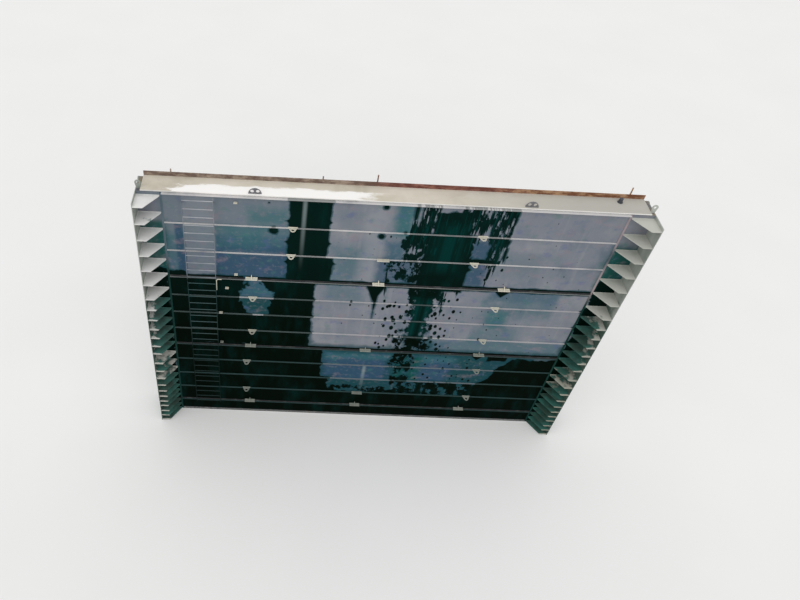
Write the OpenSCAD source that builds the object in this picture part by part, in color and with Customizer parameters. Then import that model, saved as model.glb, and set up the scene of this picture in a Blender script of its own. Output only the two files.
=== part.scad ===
// Sectional steel bulkhead gate for a flood or dewatering bay.
// Three tall sections and a low sill section stand on each other in the bay. Each is a
// flat skin plate with horizontal girders behind it, and a stack of tapered bracket
// plates carries the load round each end. A deck closes the top.
// X runs along the gate, Y from the dry face to the wet side, Z up. The origin is on
// the flat underside of the sill section, at the middle of its length and depth.

/* [Gate] */
// Length of the gate over its two end plates
gate_length = 14960; // [14400:10:15800]
// Depth of a section from the skin's dry face to the back of the flanges
gate_depth = 700; // [640:10:900]
// Height of the upper section under its deck
upper_height = 3270; // [3200:10:3400]
// Height of the middle and lower sections
section_height = 3240; // [3180:10:3420]
// Height of the low sill section
sill_height = 640; // [540:10:700]
// Height of the rubber joint between two sections
joint_height = 20; // [14:1:30]

/* [Plates] */
// Thickness of the skin plate
skin_thickness = 12; // [8:1:16]
// Thickness of a girder web
web_thickness = 12; // [8:1:16]
// Height of a girder flange
flange_height = 300; // [200:10:340]
// Thickness of a girder flange
flange_thickness = 25; // [16:1:30]
// Thickness of a vertical diaphragm
diaphragm_thickness = 10; // [8:1:16]
// Number of bays between the diaphragms
diaphragm_bays = 12; // [11:1:14]
// Thickness of the end plates
end_plate_thickness = 20; // [14:1:28]

/* [Face] */
// How far the ledges stand out of the skin
ledge_depth = 40; // [25:1:60]
// How far the top ledge of the upper section stands out of the skin
top_ledge_depth = 100; // [60:5:140]
// Thickness of a ledge
ledge_thickness = 12; // [8:1:16]
// Width of the upright bars along the edges of the face
edge_bar_width = 60; // [40:1:90]
// Thickness of the upright edge bars
edge_bar_thickness = 16; // [10:1:22]

/* [End brackets] */
// Length of a bracket plate along the gate
bracket_length = 690; // [620:5:760]
// How far a bracket plate stands out of the skin
bracket_depth = 610; // [520:10:700]
// Width of the straight front end of a bracket plate
bracket_land = 280; // [220:5:340]
// Depth of the blunt nose at the inner tip of a bracket plate
bracket_nose = 45; // [30:1:60]
// Thickness of a bracket plate
bracket_thickness = 16; // [12:1:20]
// Distance between the bracket plates of the upper section
upper_bracket_pitch = 610; // [500:5:700]
// Mean distance between the bracket plates of the middle section
middle_bracket_pitch = 450; // [400:5:500]
// Mean distance between the bracket plates of the lower section
lower_bracket_pitch = 360; // [320:5:400]
// Distance between the bracket plates of the sill section
sill_bracket_pitch = 280; // [240:5:320]
// How much each gap of the middle stack is wider than the one below it
middle_bracket_growth = 20; // [0:2:30]
// How much each gap of the lower stack is wider than the one below it
lower_bracket_growth = 28; // [0:2:36]

/* [Ring lugs] */
// How far the middle line of all lugs and seam plates stands right of the gate's middle
fittings_offset = -120; // [-200:10:200]
// Width of a ring lug where it meets the skin
ring_lug_width = 290; // [240:5:330]
// How far a ring lug stands out of the skin
ring_lug_reach = 205; // [195:5:240]
// Radius of a ring lug's round head
ring_head_radius = 80; // [72:1:88]
// Radius of the eye in a ring lug
ring_eye_radius = 45; // [35:1:55]
// Thickness of a ring lug
ring_lug_thickness = 20; // [16:1:30]
// Distance of the upper section's ring lugs from their middle line
upper_lug_x = 2830; // [2500:10:3300]
// Distance of the middle section's ring lugs from their middle line
middle_lug_x = 3980; // [3700:10:4400]
// Distance of the lower section's ring lugs from their middle line
lower_lug_x = 4160; // [3700:10:4400]

/* [Seam plates] */
// Width of a seam plate
seam_plate_width = 380; // [300:5:460]
// How far a seam plate stands out of the skin
seam_plate_depth = 120; // [90:5:160]
// Thickness of a seam plate
seam_plate_thickness = 20; // [14:1:28]
// Height of the rib above a seam plate
seam_rib_height = 110; // [80:5:150]
// Distance of the outer seam plates from their middle line
seam_plate_x = 4030; // [3700:10:4400]

/* [Ladder] */
// Distance of the ladder's middle from the left end of the gate
ladder_from_end = 1770; // [1600:10:1900]
// Clear width between the ladder's side bars
ladder_width = 880; // [500:10:920]
// Distance between two rungs
rung_pitch = 300; // [250:5:320]
// Radius of a rung
rung_radius = 13; // [10:0.5:16]
// Clear space between the skin and the side bars
ladder_clear = 130; // [110:5:180]
// Depth of a ladder side bar
side_bar_depth = 60; // [45:1:80]
// Thickness of a ladder side bar
side_bar_thickness = 12; // [8:1:16]
// Height of the hand hold above the middle ladder's top rung
hand_hold_rise = 220; // [160:5:300]
// Width of the small cleats beside the ladder
cleat_width = 110; // [80:5:150]
// How far a cleat stands out of the skin
cleat_depth = 90; // [60:5:120]

/* [Deck] */
// Distance of the deck's two ends from the two ends of the gate
deck_end_inset = 150; // [120:5:240]
// Height of the bearers that lift the deck off the upper section
bearer_height = 40; // [32:2:80]
// Thickness of the deck plate
deck_thickness = 10; // [8:1:14]
// How far the deck stands out over the skin
deck_overhang = 0; // [0:5:40]
// Height of the bar along the front edge of the deck
deck_edge_height = 28; // [20:1:40]
// Height of the back rail above the deck
rail_height = 145; // [80:5:200]
// Width of a deck lifting lug
deck_lug_width = 380; // [370:5:440]
// Radius of the eyes in a deck lifting lug
deck_eye_radius = 55; // [40:1:58]
// Thickness of a deck lifting lug
deck_lug_thickness = 30; // [20:1:40]
// Distance of the deck lifting lugs from their middle line
deck_lug_x = 3970; // [3700:10:4400]
// Height of the lugs beside the ends of the deck
end_lug_height = 290; // [240:10:340]
// Radius of an end lug's round head
end_head_radius = 90; // [80:1:100]
// Radius of the eye in an end lug
end_eye_radius = 40; // [25:1:50]
// Radius of the vent on the deck
vent_radius = 55; // [40:1:80]
// Height of the vent
vent_height = 130; // [100:5:200]
// Radius of a stub post on the back rail
post_radius = 20; // [14:1:24]
// Height of the two tall stub posts above the rail
tall_post_height = 240; // [160:5:300]
// Height of the two short stub posts above the rail
short_post_height = 100; // [60:5:140]

/* [Seals] */
// Width of the rubber joint and side seals
seal_width = 110; // [80:5:150]
// Height of the joint seal's leaf above the foot of the section that it seals
leaf_height = 50; // [40:2:70]
// Thickness of the joint seal's leaf
leaf_thickness = 20; // [14:1:26]
// Thickness of the side seals
side_seal_thickness = 22; // [16:1:30]
// Height of the foot seal
foot_seal_height = 110; // [80:5:150]
// Thickness of the foot seal
foot_seal_thickness = 20; // [14:1:28]

/* [Hidden] */
$fn = 48;

// A hair of room between pieces that are seated but not welded in one solid
seat_gap = 0.3;
// Number of equal panels that the girders divide a section's skin into
upper_panels = 3;
lower_panels = 4;
sill_panels = 1;

face_y = -gate_depth / 2;
back_y = gate_depth / 2;
end_x = gate_length / 2;
inner_x = end_x - end_plate_thickness;
face_x = end_x - bracket_length;
face_span = 2 * (face_x - edge_bar_width);
deck_x = end_x - deck_end_inset;
web_y = face_y + skin_thickness;
web_back_y = back_y - flange_thickness;
front_y = face_y - bracket_depth;

sill_z = 0;
lower_z = sill_z + sill_height + joint_height;
middle_z = lower_z + section_height + joint_height;
upper_z = middle_z + section_height + joint_height;
top_z = upper_z + upper_height;
deck_z = top_z + bearer_height;
deck_top_z = deck_z + deck_thickness;

// Middle height of one girder web: the first and last lie flush along the edges
function girder_height(height, panels, i) =
    web_thickness / 2 + i * (height - web_thickness) / panels;
function girder_heights(height, panels) = [
    for (i = [0:panels]) girder_height(height, panels, i)
];

// Middle heights of a section's bracket plates: as many as the pitch gives, from the
// stated foot to the stated distance under its top, each gap wider by the growth
upper_stack = [90, 120];
middle_stack = [40, 520];
lower_stack = [270, 470];
sill_stack = [40, 40];
function bracket_heights(height, ends, pitch, growth) =
    let (span = height - ends[0] - ends[1],
        steps = max(1, round(span / pitch)),
        first = span / steps - growth * (steps - 1) / 2)
    [for (i = [0:steps]) ends[0] + i * first + growth * i * (i - 1) / 2];

// A slab given by its middle, its size and its lowest height
module slab(x_mid, x_size, y_low, y_high, z_low, z_high) {
    translate([x_mid - x_size / 2, y_low, z_low])
        cube([x_size, y_high - y_low, z_high - z_low]);
}

// Skin

module skin_sheet(z, height) {
    color("dimgray")
        slab(0, 2 * inner_x, face_y, web_y, z, z + height);
}

module upper_skin() { skin_sheet(upper_z, upper_height); }
module middle_skin() { skin_sheet(middle_z, section_height); }
module lower_skin() { skin_sheet(lower_z, section_height); }
module sill_skin() { skin_sheet(sill_z, sill_height); }

// Girders: webs lie flat behind the skin, flanges stand along their back edges

module webs(z, height, panels) {
    color("slategray")
        for (h = girder_heights(height, panels))
            slab(0, 2 * inner_x, web_y, web_back_y,
                z + h - web_thickness / 2, z + h + web_thickness / 2);
}

module upper_webs() { webs(upper_z, upper_height, upper_panels); }
module middle_webs() { webs(middle_z, section_height, lower_panels); }
module lower_webs() { webs(lower_z, section_height, lower_panels); }
module sill_webs() { webs(sill_z, sill_height, sill_panels); }

// A flange is centred on its web, and the edge ones end flush with the section
module flanges(z, height, panels) {
    reach = flange_height / 2;
    color("slategray")
        for (h = girder_heights(height, panels))
            slab(0, 2 * inner_x, web_back_y, back_y,
                z + max(0, h - reach), z + min(height, h + reach));
}

module upper_flanges() { flanges(upper_z, upper_height, upper_panels); }
module middle_flanges() { flanges(middle_z, section_height, lower_panels); }
module lower_flanges() { flanges(lower_z, section_height, lower_panels); }
module sill_flanges() { flanges(sill_z, sill_height, sill_panels); }

// Diaphragms: upright plates that close each bay between two girders
bay_length = 2 * inner_x / diaphragm_bays;

module diaphragms(z, height, panels) {
    color("darkslategray")
        for (k = [0:panels - 1], i = [1:diaphragm_bays - 1])
            slab(-inner_x + i * bay_length, diaphragm_thickness, web_y, web_back_y,
                z + girder_height(height, panels, k) + web_thickness / 2,
                z + girder_height(height, panels, k + 1) - web_thickness / 2);
}

module upper_diaphragms() { diaphragms(upper_z, upper_height, upper_panels); }
module middle_diaphragms() { diaphragms(middle_z, section_height, lower_panels); }
module lower_diaphragms() { diaphragms(lower_z, section_height, lower_panels); }
module sill_diaphragms() { diaphragms(sill_z, sill_height, sill_panels); }

// Foot and height of each section, from the sill up
section_spans = [
    [sill_z, sill_height],
    [lower_z, section_height],
    [middle_z, section_height],
    [upper_z, upper_height]
];

// End plates: one tall plate a section, from the front of the brackets to the flanges

module end_plates(side) {
    color("gray")
        for (span = section_spans)
            slab(side * (end_x - end_plate_thickness / 2), end_plate_thickness,
                front_y, back_y, span[0], span[0] + span[1]);
}

module left_end_plates() { end_plates(-1); }
module right_end_plates() { end_plates(1); }

// End brackets: tapered plates from the edge of the face out to the end plate

module bracket_outline() {
    polygon([
        [face_x, face_y],
        [face_x, face_y - bracket_nose],
        [inner_x - bracket_land, front_y],
        [inner_x, front_y],
        [inner_x, face_y]
    ]);
}

module brackets(side, z, heights) {
    color("lightgray")
        for (h = heights)
            translate([0, 0, z + h - bracket_thickness / 2])
                mirror([side < 0 ? 1 : 0, 0, 0])
                    linear_extrude(bracket_thickness)
                        bracket_outline();
}

upper_brackets_at = bracket_heights(upper_height, upper_stack, upper_bracket_pitch, 0);
middle_brackets_at = bracket_heights(section_height, middle_stack, middle_bracket_pitch,
    middle_bracket_growth);
lower_brackets_at = bracket_heights(section_height, lower_stack, lower_bracket_pitch,
    lower_bracket_growth);
sill_brackets_at = bracket_heights(sill_height, sill_stack, sill_bracket_pitch, 0);

module upper_left_brackets() { brackets(-1, upper_z, upper_brackets_at); }
module upper_right_brackets() { brackets(1, upper_z, upper_brackets_at); }
module middle_left_brackets() { brackets(-1, middle_z, middle_brackets_at); }
module middle_right_brackets() { brackets(1, middle_z, middle_brackets_at); }
module lower_left_brackets() { brackets(-1, lower_z, lower_brackets_at); }
module lower_right_brackets() { brackets(1, lower_z, lower_brackets_at); }
module sill_bracket_plates() {
    brackets(-1, sill_z, sill_brackets_at);
    brackets(1, sill_z, sill_brackets_at);
}

// Face: upright bars along its two edges, a ledge in front of each girder between two
// panels, and one flush with the top of each section

module face_edge_bars() {
    color("silver")
        for (side = [-1, 1], span = section_spans)
            slab(side * (face_x - edge_bar_width / 2), edge_bar_width,
                face_y - edge_bar_thickness, face_y, span[0], span[0] + span[1]);
}

module ledge(z, depth = ledge_depth) {
    slab(0, face_span, face_y - depth, face_y,
        z - ledge_thickness / 2, z + ledge_thickness / 2);
}

module panel_ledges(z, height, panels) {
    for (i = [1:panels - 1])
        ledge(z + girder_height(height, panels, i));
}

module face_ledges() {
    color("silver") {
        panel_ledges(upper_z, upper_height, upper_panels);
        panel_ledges(middle_z, section_height, lower_panels);
        panel_ledges(lower_z, section_height, lower_panels);
        for (z = [lower_z, middle_z, upper_z])
            ledge(z - joint_height - ledge_thickness / 2);
        ledge(top_z - ledge_thickness / 2, top_ledge_depth);
    }
}

// A tongue with a round head and an eye: its straight sides run from the root's two
// corners along the tangents of the head
module tongue_outline(root_width, reach, head_radius, eye_radius) {
    centre = reach - head_radius;
    corner = root_width / 2;
    slant = atan2(-centre, corner) + acos(head_radius / norm([corner, centre]));
    touch = [head_radius * cos(slant), centre + head_radius * sin(slant)];
    difference() {
        union() {
            translate([0, centre])
                circle(head_radius);
            polygon([[-corner, 0], [corner, 0], touch, [-touch[0], touch[1]]]);
        }
        translate([0, centre])
            circle(eye_radius);
    }
}

// Ring lugs: tongues laid on top of a ledge

// The lugs of one section at plus and minus x, on the ledges at the given heights
module ring_lugs(x, z, heights) {
    color("gainsboro")
        for (side = [-1, 1], h = heights)
            translate([fittings_offset + side * x, face_y, z + h + ledge_thickness / 2])
                mirror([0, 1, 0])
                    linear_extrude(ring_lug_thickness)
                        tongue_outline(ring_lug_width, ring_lug_reach, ring_head_radius,
                            ring_eye_radius);
}

module upper_ring_lugs() {
    ring_lugs(upper_lug_x, upper_z, [
        girder_height(upper_height, upper_panels, 1),
        girder_height(upper_height, upper_panels, 2)
    ]);
}

lower_lug_heights = [
    girder_height(section_height, lower_panels, 1),
    girder_height(section_height, lower_panels, 3)
];
module middle_ring_lugs() { ring_lugs(middle_lug_x, middle_z, lower_lug_heights); }
module lower_ring_lugs() { ring_lugs(lower_lug_x, lower_z, lower_lug_heights); }

// Seam plates: shelves with a rib above them, on the joint seal of each hanging section

seam_rib_nose = 25;
module seam_plate() {
    translate([-seam_plate_width / 2, -seam_plate_depth, 0])
        cube([seam_plate_width, seam_plate_depth, seam_plate_thickness]);
    translate([0, 0, seam_plate_thickness])
        rotate([0, -90, 180])
            linear_extrude(seam_plate_thickness, center = true)
                polygon([[0, 0], [seam_rib_height, 0], [seam_rib_height, seam_rib_nose],
                    [0, seam_plate_depth]]);
}

// Plates of the same size, without the rib, lie at the middle of two other ledges
centre_plate_ledges = [
    upper_z + girder_height(upper_height, upper_panels, 1),
    lower_z + girder_height(section_height, lower_panels, 1)
];

module seam_plates() {
    color("gainsboro") {
        for (z = [lower_z, middle_z, upper_z], x = [-seam_plate_x, 0, seam_plate_x])
            translate([fittings_offset + x, face_y, z + leaf_height])
                seam_plate();
        for (z = centre_plate_ledges)
            slab(fittings_offset, seam_plate_width, face_y - seam_plate_depth, face_y,
                z + ledge_thickness / 2, z + ledge_thickness / 2 + seam_plate_thickness);
    }
}

// Ladder

ladder_x = -end_x + ladder_from_end;
ladder_y = face_y - ladder_clear;
rung_margin = 100;
side_bar_margin = 40;
foot_height = 60;
ladder_spans = [for (i = [1:3]) section_spans[i]];

// Heights of the rungs in a section, spread evenly about its middle
function rung_count(height) = floor((height - 2 * rung_margin) / rung_pitch) + 1;
function rung_start(height) = (height - (rung_count(height) - 1) * rung_pitch) / 2;
function rung_heights(height) = [
    for (i = [0:rung_count(height) - 1]) rung_start(height) + i * rung_pitch
];

module ladder_side_bars() {
    color("darkgray")
        for (span = ladder_spans, side = [-1, 1]) {
            x_mid = ladder_x + side * (ladder_width + side_bar_thickness) / 2;
            slab(x_mid, side_bar_thickness, ladder_y - side_bar_depth, ladder_y,
                span[0] + side_bar_margin, span[0] + span[1] - side_bar_margin);
            foot_at = rung_start(span[1]) + 0.5 * rung_pitch;
            for (h = [foot_at, span[1] - foot_at])
                slab(x_mid, side_bar_thickness, ladder_y - side_bar_depth, face_y,
                    span[0] + h - foot_height / 2, span[0] + h + foot_height / 2);
        }
}

module ladder_rungs() {
    color("darkgray")
        for (span = ladder_spans, h = rung_heights(span[1]))
            translate([ladder_x - ladder_width / 2, ladder_y - side_bar_depth / 2,
                    span[0] + h])
                rotate([0, 90, 0])
                    cylinder(r = rung_radius, h = ladder_width);
}

// Hand hold: a bar beside the middle ladder that rises, bends right and ends free
hand_hold_bend = 70;
hand_hold_tail = 90;
hand_hold_length = 400;
ladder_right_x = ladder_x + ladder_width / 2 + side_bar_thickness;

module hand_hold() {
    z_top = middle_z + section_height - rung_start(section_height) + hand_hold_rise;
    translate([ladder_right_x + seat_gap + rung_radius, ladder_y - side_bar_depth / 2,
            z_top - hand_hold_bend]) {
        translate([0, 0, -hand_hold_length])
            cylinder(r = rung_radius, h = hand_hold_length);
        translate([hand_hold_bend, 0, 0])
            rotate([90, 0, 0])
                rotate([0, 0, 90])
                    rotate_extrude(angle = 90)
                        translate([hand_hold_bend, 0])
                            circle(rung_radius);
        translate([hand_hold_bend, 0, hand_hold_bend])
            rotate([0, 90, 0])
                cylinder(r = rung_radius, h = hand_hold_tail);
    }
}

// Cleats: small shelf tabs on the skin, each given by its distance right of the
// ladder, the number of the ledge under it and its height above that ledge
cleat_thickness = 16;
upper_cleats = [[620, 2, 860], [620, 0, 200]];
middle_cleats = [[330, 3, 420], [110, 2, 60], [110, 0, 170]];

module cleats(z, height, panels, places) {
    for (place = places) {
        h = girder_height(height, panels, place[1]) + place[2];
        slab(ladder_right_x + place[0], cleat_width, face_y - cleat_depth, face_y,
            z + h, z + h + cleat_thickness);
    }
}

module ladder_fittings() {
    color("gainsboro") {
        hand_hold();
        cleats(upper_z, upper_height, upper_panels, upper_cleats);
        cleats(middle_z, section_height, lower_panels, middle_cleats);
    }
}

// Deck: the bearers stand over the diaphragms and near the deck's two ends

bearer_thickness = 12;
bearer_setback = 90;
bearer_inset = 40;
deck_front_y = face_y - deck_overhang;
deck_edge_thickness = 14;
rail_thickness = 12;

module deck_plate() {
    color("antiquewhite")
        slab(0, 2 * deck_x, deck_front_y, back_y, deck_z, deck_top_z);
}

bearer_places = concat(
    [bearer_inset - deck_x, deck_x - bearer_inset],
    [for (i = [1:diaphragm_bays - 1]) -inner_x + i * bay_length]
);

module deck_bearers() {
    color("gray")
        for (x = bearer_places)
            slab(x, bearer_thickness, face_y + bearer_setback, web_back_y, top_z, deck_z);
}

module deck_edge_bar() {
    color("white")
        slab(0, 2 * deck_x, deck_front_y - deck_edge_thickness, deck_front_y,
            deck_top_z - deck_edge_height, deck_top_z);
}

module back_rail() {
    color("sienna")
        slab(0, 2 * deck_x, back_y, back_y + rail_thickness,
            top_z - flange_height / 2, deck_top_z + rail_height);
}

// Deck lifting lugs: half-round upright plates with two eyes, one each side of a web.
// The middle of the round lies a little below the deck
deck_lug_setback = 65;
deck_lug_drop = 15;
deck_lug_web = 50;
deck_eye_foot = 20;

module deck_lug_outline() {
    r = deck_lug_width / 2;
    difference() {
        intersection() {
            translate([0, -deck_lug_drop])
                circle(r);
            translate([-r, 0])
                square([2 * r, r]);
        }
        for (side = [-1, 1])
            translate([side * (deck_lug_web / 2 + deck_eye_radius),
                    deck_eye_foot + deck_eye_radius])
                circle(deck_eye_radius);
    }
}

module deck_lifting_lugs() {
    color("dimgray")
        for (side = [-1, 1])
            translate([fittings_offset + side * deck_lug_x,
                    deck_front_y + deck_lug_setback + deck_lug_thickness, deck_top_z])
                rotate([90, 0, 0])
                    linear_extrude(deck_lug_thickness)
                        deck_lug_outline();
}

// End lugs: upright tongues on the upper section's top, between the deck's ends and the
// end plates
end_lug_clearance = 15;
end_lug_root = inner_x - deck_x - 2 * end_lug_clearance;
end_lug_thickness = 20;
end_lug_setback = 137;

module deck_end_lugs() {
    color("dimgray")
        for (side = [-1, 1])
            translate([side * (deck_x + inner_x) / 2, face_y + end_lug_setback, top_z])
                rotate([90, 0, 0])
                    linear_extrude(end_lug_thickness)
                        tongue_outline(end_lug_root, end_lug_height, end_head_radius,
                            end_eye_radius);
}

vent_from_end = 780;
vent_from_back = 200;
vent_flange_width = 25;
vent_flange_thickness = 12;
module deck_vent() {
    color("black")
        translate([deck_x - vent_from_end, back_y - vent_from_back, deck_top_z]) {
            cylinder(r = vent_radius + vent_flange_width, h = vent_flange_thickness);
            cylinder(r = vent_radius, h = vent_height);
        }
}

// Places of the stub posts along the back rail: two short ones from the left end, a
// tall one left of the middle and a tall one from the right end
first_post_inset = 790;
second_post_inset = 5180;
middle_post_offset = 570;
last_post_inset = 470;

module stub_post(x, height) {
    translate([x, back_y + rail_thickness / 2, deck_top_z + rail_height])
        cylinder(r = post_radius, h = height);
}

module stub_posts() {
    color("saddlebrown") {
        for (inset = [first_post_inset, second_post_inset])
            stub_post(inset - deck_x, short_post_height);
        for (x = [-middle_post_offset, deck_x - last_post_inset])
            stub_post(x, tall_post_height);
    }
}

// Seals

// Joint seals: a pad between two sections, and a leaf that bends up from it in front of
// the skin, between the edge bars
seal_setback = 40;
module joint_seals() {
    color("black")
        for (z = [lower_z, middle_z, upper_z]) {
            slab(0, gate_length, face_y + seal_setback,
                face_y + seal_setback + seal_width, z - joint_height, z);
            translate([-face_span / 2, face_y, z])
                rotate([90, 0, 90])
                    linear_extrude(face_span)
                        polygon([
                            [-leaf_thickness, -joint_height],
                            [seal_setback, -joint_height],
                            [seal_setback, 0],
                            [0, 0],
                            [0, leaf_height],
                            [-leaf_thickness, leaf_height]
                        ]);
        }
}

module side_seals() {
    color("black")
        for (side = [-1, 1])
            slab(side * (end_x + side_seal_thickness / 2), side_seal_thickness,
                back_y - seal_width, back_y, sill_z, top_z);
}

module foot_seal() {
    color("black")
        slab(0, face_span, face_y - foot_seal_thickness, face_y,
            sill_z, sill_z + foot_seal_height);
}

deck_plate();
deck_bearers();
deck_edge_bar();
back_rail();
deck_lifting_lugs();
deck_end_lugs();
deck_vent();
stub_posts();
upper_skin();
middle_skin();
lower_skin();
sill_skin();
upper_webs();
middle_webs();
lower_webs();
sill_webs();
upper_flanges();
middle_flanges();
lower_flanges();
sill_flanges();
upper_diaphragms();
middle_diaphragms();
lower_diaphragms();
sill_diaphragms();
left_end_plates();
right_end_plates();
upper_left_brackets();
upper_right_brackets();
middle_left_brackets();
middle_right_brackets();
lower_left_brackets();
lower_right_brackets();
sill_bracket_plates();
face_edge_bars();
face_ledges();
upper_ring_lugs();
middle_ring_lugs();
lower_ring_lugs();
seam_plates();
ladder_side_bars();
ladder_rungs();
ladder_fittings();
joint_seals();
side_seals();
foot_seal();
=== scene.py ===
import functools
import math

import bmesh
import bpy
import numpy as np
from mathutils import Matrix, Vector


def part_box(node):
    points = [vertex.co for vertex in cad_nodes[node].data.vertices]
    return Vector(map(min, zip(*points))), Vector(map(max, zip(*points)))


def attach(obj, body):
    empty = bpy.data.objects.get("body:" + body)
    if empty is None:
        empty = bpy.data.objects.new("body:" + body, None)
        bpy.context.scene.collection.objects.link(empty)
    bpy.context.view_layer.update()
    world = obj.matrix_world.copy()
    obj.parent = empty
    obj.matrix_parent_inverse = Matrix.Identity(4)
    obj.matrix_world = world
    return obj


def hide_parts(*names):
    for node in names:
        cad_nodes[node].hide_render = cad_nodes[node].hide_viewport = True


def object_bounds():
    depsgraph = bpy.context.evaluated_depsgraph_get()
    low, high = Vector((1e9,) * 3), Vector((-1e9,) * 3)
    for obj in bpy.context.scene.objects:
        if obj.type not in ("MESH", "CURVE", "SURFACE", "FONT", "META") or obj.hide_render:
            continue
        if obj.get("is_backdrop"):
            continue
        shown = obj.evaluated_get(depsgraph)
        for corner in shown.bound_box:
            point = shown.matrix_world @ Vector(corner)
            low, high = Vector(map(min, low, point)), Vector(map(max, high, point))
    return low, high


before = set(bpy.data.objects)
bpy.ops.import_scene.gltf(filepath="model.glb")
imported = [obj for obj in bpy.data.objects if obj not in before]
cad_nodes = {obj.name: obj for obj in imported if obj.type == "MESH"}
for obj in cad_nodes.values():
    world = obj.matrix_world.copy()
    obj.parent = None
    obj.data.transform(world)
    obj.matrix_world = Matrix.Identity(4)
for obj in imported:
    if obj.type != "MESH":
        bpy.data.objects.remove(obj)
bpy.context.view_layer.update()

# Skin plates
# Each section has one flat steel sheet as its dry face, welded to the girders behind it and
# coated with grey epoxy that has gone chalky. Leaks run down it in sheets, drips and spots.


class Field:
    """A number or colour that changes over a surface, held as a socket of a node tree. Arithmetic on
    fields adds the Math nodes that work it out."""

    def __init__(self, tree, socket):
        self.tree, self.socket = tree, socket

    def math(self, operation, *others):
        """One Math node that works on this field and the others, in that order."""
        node = self.tree.nodes.new("ShaderNodeMath")
        node.operation = operation
        for socket, value in zip(node.inputs, (self, *others)):
            feed(self.tree, socket, value)
        return Field(self.tree, node.outputs[0])

    def __add__(self, other):
        return self.math("ADD", other)

    def __sub__(self, other):
        return self.math("SUBTRACT", other)

    def __mul__(self, other):
        return self.math("MULTIPLY", other)

    def __rsub__(self, other):
        return self.math("MULTIPLY_ADD", -1.0, other)

    def least(self, other):
        return self.math("MINIMUM", other)

    def most(self, other):
        return self.math("MAXIMUM", other)

    def rise(self, low, high):
        """0 below low, 1 above high, and an S-shaped climb between them."""
        limits = {"Value": self, "From Min": low, "From Max": high}
        return add_node(self.tree, "ShaderNodeMapRange", limits, interpolation_type="SMOOTHSTEP")

    def fall(self, low, high):
        """1 below low, 0 above high, and an S-shaped descent between them."""
        return 1.0 - self.rise(low, high)

    def split(self):
        """The x, y and z of a vector, or the red, green and blue of a colour."""
        node = self.tree.nodes.new("ShaderNodeSeparateXYZ")
        feed(self.tree, node.inputs[0], self)
        return [Field(self.tree, socket) for socket in node.outputs]


def feed(tree, socket, value):
    """Links a field into a socket, or writes a plain number, vector or colour there."""
    if isinstance(value, Field):
        tree.links.new(value.socket, socket)
    elif socket.type == "RGBA":
        socket.default_value = (*value, 1.0)
    else:
        socket.default_value = value


def add_node(tree, kind, inputs, output=0, **options):
    """Adds one node with its options and inputs set, and returns the field that it puts out."""
    node = tree.nodes.new(kind)
    for option, value in options.items():
        setattr(node, option, value)
    for name, value in inputs.items():
        feed(tree, node.inputs[name], value)
    return Field(tree, node.outputs[output])


def joined(x, y, z):
    """The vector of three numbers, of which the first is a field."""
    return add_node(x.tree, "ShaderNodeCombineXYZ", {0: x, 1: y, 2: z})


def noise(place, scale, detail=2.0, roughness=0.5):
    """Cloudy noise from 0 to 1, with its blotches about 1 / scale metres wide."""
    inputs = {"Vector": place, "Scale": scale, "Detail": detail, "Roughness": roughness}
    return add_node(place.tree, "ShaderNodeTexNoise", inputs)


def mixed(share, first, second):
    """The first colour where share is 0 and the second where it is 1. The Mix node has sockets for
    numbers and vectors too, so the ones for colours are told by their place in its rows."""
    factor, colour_a, colour_b, colour_out = 0, 6, 7, 2
    inputs = {factor: share, colour_a: first, colour_b: second}
    return add_node(share.tree, "ShaderNodeMix", inputs, output=colour_out, data_type="RGBA")


def tone(red, green, blue):
    """A colour as it looks on a screen, 0 to 255, turned into the linear values that nodes take."""
    shares = np.array([red, green, blue]) / 255
    return tuple(np.where(shares > 0.04045, ((shares + 0.055) / 1.055) ** 2.4, shares / 12.92))


def shader_group(name, inputs, outputs):
    """A new shader group with named sockets: its tree, its inputs as fields, and its output node."""
    tree = bpy.data.node_groups.new(name, "ShaderNodeTree")
    for label, kind in inputs.items():
        tree.interface.new_socket(label, in_out="INPUT", socket_type="NodeSocket" + kind)
    for label, kind in outputs.items():
        tree.interface.new_socket(label, in_out="OUTPUT", socket_type="NodeSocket" + kind)
    entry = tree.nodes.new("NodeGroupInput")
    fields = {label: Field(tree, entry.outputs[label]) for label in inputs}
    return tree, fields, tree.nodes.new("NodeGroupOutput")


def use_group(tree, group, inputs):
    """Places a group in a tree and returns its outputs as fields, by name."""
    node = tree.nodes.new("ShaderNodeGroup")
    node.node_tree = group
    for name, value in inputs.items():
        feed(tree, node.inputs[name], value)
    return {socket.name: Field(tree, socket) for socket in node.outputs}


def new_material(name, specular):
    """A material with one Principled shader of a fixed gloss level; returns it, its tree, the shader
    and the place on the object, in metres."""
    material = bpy.data.materials.new(name)
    material.use_nodes = True
    tree = material.node_tree
    shader = tree.nodes["Principled BSDF"]
    shader.inputs["Specular IOR Level"].default_value = specular
    place = Field(tree, tree.nodes.new("ShaderNodeTexCoord").outputs["Object"])
    return material, tree, shader, place


def finish_shader(tree, shader, colour, roughness, height, depth):
    """Feeds the shader its colour and roughness, and a bump of the given depth from height."""
    feed(tree, shader.inputs["Base Color"], colour)
    feed(tree, shader.inputs["Roughness"], roughness)
    bump = add_node(tree, "ShaderNodeBump", {"Height": height, "Distance": depth})
    feed(tree, shader.inputs["Normal"], bump)


def dress(material, *names):
    """Gives CAD nodes one material in place of the plain one that they came with."""
    for name in names:
        mesh = cad_nodes[name].data
        mesh.materials.clear()
        mesh.materials.append(material)


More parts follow.
